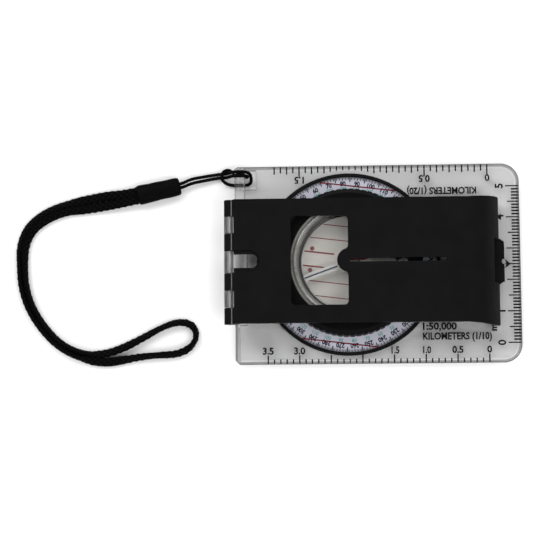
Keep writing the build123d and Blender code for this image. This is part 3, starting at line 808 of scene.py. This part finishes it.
capsule_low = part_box("capsule_body")[0][2] / MM
capsule_profile = [
    (0, capsule_low), (18.4, capsule_low), (18.7, capsule_low + 0.3),
    (18.7, 10.2), (18.55, 10.5), (18.3, 10.55), (18.1, 10.3), (17.9, 10.05), (17.6, 10.3),
    (17.35, 10.5), (16.9, 10.55), (16.5, 10.35), (16.2, 9.8), (16.0, 9.2), (15.85, 8.0),
    (15.75, 6.0), (15.7, 4.8), (15.6, 4.6), (0, 4.6),
]
wall_mesh = turned("capsule_wall", capsule_profile)
wall = piece("capsule_wall", wall_mesh, "capsule_wall", "dial")
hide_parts("capsule_body")


# ---------------------------------------------------------------- printing

INK = 0.02 * MM
FONT_HALF_DEPTH = 0.01
PLATE_TOP = 2.5 * MM
PANEL_TOP = 2.35 * MM
RING_TOP = 1.85 * MM
FLOOR_TOP = 5.0 * MM


def bar(target, x0, y0, x1, y1, width, z, turn=0.0):
    """A printed stroke from one point to another, in mm, as a thin closed block."""
    a, b = Vector((x0, y0, 0)) * MM, Vector((x1, y1, 0)) * MM
    if turn:
        spin = Matrix.Rotation(turn, 3, "Z")
        a, b = spin @ a, spin @ b
    run = (b - a).normalized()
    side = Vector((-run.y, run.x, 0)) * (width * MM / 2)
    corners = [a - side, b - side, b + side, a + side]
    low = [target.verts.new((c.x, c.y, z)) for c in corners]
    high = [target.verts.new((c.x, c.y, z + INK)) for c in corners]
    target.faces.new(low[::-1])
    target.faces.new(high)
    for i in range(4):
        j = (i + 1) % 4
        target.faces.new((low[i], low[j], high[j], high[i]))


def words(target, text, height, x, y, z, turn, weight, squeeze=1.0, align="CENTER"):
    """Printed text height mm tall, centred on (x, y), or starting there if align is LEFT."""
    font = bpy.data.curves.new("print", "FONT")
    font.body = text
    font.size = 1.0
    font.offset = weight
    font.extrude = FONT_HALF_DEPTH
    font.resolution_u = 3
    holder = bpy.data.objects.new("print", font)
    mesh = bpy.data.meshes.new_from_object(holder)
    xs = [v.co.x for v in mesh.vertices]
    ys = [v.co.y for v in mesh.vertices]
    scale = height * MM / (max(ys) - min(ys))
    start = min(xs) if align == "LEFT" else (min(xs) + max(xs)) / 2
    middle = (min(ys) + max(ys)) / 2
    place = (
        Matrix.Translation((x * MM, y * MM, z + INK / 2))
        @ Matrix.Rotation(turn, 4, "Z")
        @ Matrix.Diagonal((scale * squeeze, scale, INK / (2 * FONT_HALF_DEPTH), 1))
        @ Matrix.Translation((-start, -middle, 0))
    )
    mesh.transform(place)
    target.from_mesh(mesh)
    bpy.data.objects.remove(holder)
    bpy.data.curves.remove(font)
    bpy.data.meshes.remove(mesh)


def printed(name, target, finish, body):
    """Turns the gathered strokes and words into one piece."""
    mesh = bpy.data.meshes.new(name)
    target.to_mesh(mesh)
    target.free()
    return piece(name, mesh, finish, body)


# map scales along the two long edges, and the centimetre scale across the end; all in mm
EDGE = 31.55
FRONT_ZERO = 44.12
BACK_ZERO = 44.43
MAP_STEP = 2
MAP_TICK_WIDTH = 0.45
MAP_NUMERAL = 2.3
BOLD = 0.035
WELL_RADIUS = 30.35
FRONT_WORDS_START = 23.2
RIGHT_EDGE = 54.2
CM_ZERO = -25.48
CM_NUMERAL = 2.6
CM_NUMERAL_X = 48.1
QUARTER = math.pi / 2
plate_print = bmesh.new()
for k in range(36):
    x = FRONT_ZERO - MAP_STEP * k
    length = 2.6 if k % 5 == 0 else 1.35
    bar(plate_print, x, -EDGE, x, -EDGE + length, MAP_TICK_WIDTH, PLATE_TOP)
for k, label in ((0, "0"), (5, "0.5"), (10, "1.0"), (15, "1.5"), (30, "3.0"), (35, "3.5")):
    squeeze, shift = (0.82, 0.3) if label[0] == "1" else (1.0, 0.0)
    x = FRONT_ZERO - MAP_STEP * k + shift
    words(plate_print, label, MAP_NUMERAL, x, -EDGE + 4.0, PLATE_TOP, 0.0, BOLD, squeeze)
for k in range(35):
    x = BACK_ZERO - MAP_STEP * k
    length = 3.2 if k % 10 == 0 else (2.4 if k % 2 == 0 else 2.0)
    well_edge = math.sqrt(max(0.0, WELL_RADIUS**2 - x**2))
    bar(plate_print, x, EDGE, x, max(EDGE - length, well_edge), MAP_TICK_WIDTH, PLATE_TOP)
for k, label in ((0, "0"), (10, "0.5"), (30, "1.5")):
    x = BACK_ZERO - MAP_STEP * k
    words(plate_print, label, MAP_NUMERAL, x, EDGE - 4.3, PLATE_TOP, math.pi, BOLD)
words(plate_print, "KILOMETERS (1/20)", 3.0, 29.9, 23.6, PANEL_TOP, math.pi, BOLD, 0.88)
x = FRONT_WORDS_START
words(plate_print, "1:50,000", 2.85, x, -20.3, PANEL_TOP, 0.0, BOLD, 1.04, "LEFT")
words(plate_print, "KILOMETERS (1/10)", 3.1, x, -23.6, PANEL_TOP, 0.0, BOLD, 0.84, "LEFT")
for k in range(51):
    y = CM_ZERO + k
    length = 4.1 if k % 10 == 0 else (3.6 if k % 5 == 0 else 2.3)
    width = 0.4 if k % 5 == 0 else 0.52
    bar(plate_print, RIGHT_EDGE, y, RIGHT_EDGE - length, y, width, PLATE_TOP)
for k in range(6):
    y = CM_ZERO + 10 * k
    words(plate_print, str(k), CM_NUMERAL, CM_NUMERAL_X, y, PLATE_TOP, QUARTER, 0.03)
words(plate_print, "mm", 1.6, 45.8, -19.6, PLATE_TOP, QUARTER, 0.05)
printed("scale_print", plate_print, "ink_black", "base")

# the direction line and its arrowhead at the end of the plate
ARROW_Y = -0.48
arrow_print = bmesh.new()
bar(arrow_print, 49.6, ARROW_Y, 50.7, ARROW_Y, 0.42, PLATE_TOP)
head = [(51.4, ARROW_Y), (49.45, 1.05), (50.0, ARROW_Y), (49.45, -2.0)]
low = [arrow_print.verts.new((x * MM, y * MM, PLATE_TOP)) for x, y in head]
high = [arrow_print.verts.new((x * MM, y * MM, PLATE_TOP + 2 * INK)) for x, y in head]
arrow_print.faces.new(low)
arrow_print.faces.new(high[::-1])
for i in range(4):
    j = (i + 1) % 4
    arrow_print.faces.new((low[j], low[i], high[i], high[j]))
bmesh.ops.recalc_face_normals(arrow_print, faces=arrow_print.faces)
printed("direction_arrow_print", arrow_print, "ink_black", "base")

# the dial: degree ticks and two rows of numerals, black outside and green inside
TICKS_END = 27.95
NUMERAL_RADIUS = 26.05
GREEN_RADIUS = 24.4
NORTH_HEADING = 173.5
DIAL_SQUEEZE = 0.9


def dial_angle(degree):
    """Where a degree of the dial's scale lies, which runs clockwise."""
    return math.radians(NORTH_HEADING - degree)


def dial_tick(degree, start, width):
    """A radial tick from the start radius out to the rim."""
    c, s = math.cos(dial_angle(degree)), math.sin(dial_angle(degree))
    bar(dial_print, start * c, start * s, TICKS_END * c, TICKS_END * s, width, RING_TOP + INK)


def dial_numeral(target, text, height, degree, radius, tilt, weight):
    """A number at a degree of the scale, turned by tilt from the radial line."""
    angle = dial_angle(degree)
    x, y = radius * math.cos(angle), radius * math.sin(angle)
    words(target, text, height, x, y, RING_TOP, angle + tilt, weight, DIAL_SQUEEZE)


dial_print = bmesh.new()
green_print = bmesh.new()
for degree in range(0, 360, 2):
    dial_tick(degree, 26.9 if degree % 10 == 0 else 27.25, 0.22)
for degree in range(5, 360, 10):
    dial_tick(degree, 26.5, 0.32)
for degree in range(0, 360, 10):
    other = (degree + 180) % 360
    dial_numeral(dial_print, str(degree), 1.6, degree, NUMERAL_RADIUS, -QUARTER, 0.045)
    dial_numeral(green_print, str(other), 1.25, degree, GREEN_RADIUS, QUARTER, 0.02)
printed("dial_numerals", dial_print, "ink_dial", "dial")
printed("reverse_numerals", green_print, "ink_green", "dial")

# red meridian lines on the dial floor and across the ring, and the orienting arrow's two bars
meridian_print = bmesh.new()
SPACING = 4.58
FLOOR_RADIUS = 14.8
RING_LINES_FROM = 25.0
RING_RADIUS = 28.0
for k in range(-6, 6):
    offset = (k + 0.5) * SPACING
    if SPACING < abs(offset) < FLOOR_RADIUS:
        reach = math.sqrt(FLOOR_RADIUS**2 - offset**2)
        bar(meridian_print, -reach, offset, reach, offset, 0.3, FLOOR_TOP, DIAL_TURN)
    if abs(offset) > RING_LINES_FROM:
        reach = math.sqrt(RING_RADIUS**2 - offset**2)
        bar(meridian_print, -reach, offset, reach, offset, 0.4, RING_TOP + 2 * INK, DIAL_TURN)
bar(meridian_print, 3.0, 0.0, 14.6, 0.0, 0.3, FLOOR_TOP, DIAL_TURN)
for offset in (SPACING / 2, -SPACING / 2):
    bar(meridian_print, -14.4, offset, -4.9, offset, 0.48, FLOOR_TOP, DIAL_TURN)
printed("meridian_lines", meridian_print, "ink_red", "dial")

# the line along the white half of the needle
needle_print = bmesh.new()
blade_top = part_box("needle_south_blade")[1][2]
bar(needle_print, -14.9, 0.0, -3.9, 0.0, 0.46, blade_top + INK, NEEDLE_HEADING)
printed("needle_line", needle_print, "ink_violet", "needle")


# ---------------------------------------------------------------- floor and light

floor_mesh = bpy.data.meshes.new("floor")
floor_bm = bmesh.new()
bmesh.ops.create_grid(floor_bm, x_segments=2, y_segments=2, size=3.0)
floor_bm.to_mesh(floor_mesh)
floor_bm.free()
floor = bpy.data.objects.new("floor", floor_mesh)
floor.location = (0, 0, -0.00003)
scene.collection.objects.link(floor)
floor_nodes = Nodes("floor_paper")
paper_grain = floor_nodes.noise(9.0, 2.0)
paper = floor_nodes.ramp(paper_grain, (0.3, (0.88, 0.88, 0.88)), (0.7, (0.9, 0.9, 0.9)))
paper_shader = floor_nodes.principled(Base_Color=paper, Roughness=0.9, Specular_IOR_Level=0.1)
floor_mesh.materials.append(floor_nodes.finish(paper_shader))

world = bpy.data.worlds.new("studio")
world.use_nodes = True
world.node_tree.nodes["Background"].inputs["Color"].default_value = (1, 1, 1, 1)
world.node_tree.nodes["Background"].inputs["Strength"].default_value = 0.58
scene.world = world


def lamp(name, place, size, power):
    """A square soft box aimed at the object."""
    data = bpy.data.lights.new(name, "AREA")
    data.shape = "SQUARE"
    data.size = size
    data.energy = power
    made = bpy.data.objects.new(name, data)
    made.location = place
    made.rotation_euler = (Vector((0, 0, 0)) - Vector(place)).to_track_quat("-Z", "Y").to_euler()
    scene.collection.objects.link(made)


lamp("key", (-0.62, 0.66, 1.15), 0.7, 8.2)
lamp("fill", (0.66, -0.5, 1.2), 0.8, 7.0)
lamp("back", (0.3, 0.9, 1.05), 0.7, 4.0)
lamp("front", (-0.3, -0.9, 1.05), 0.7, 3.9)
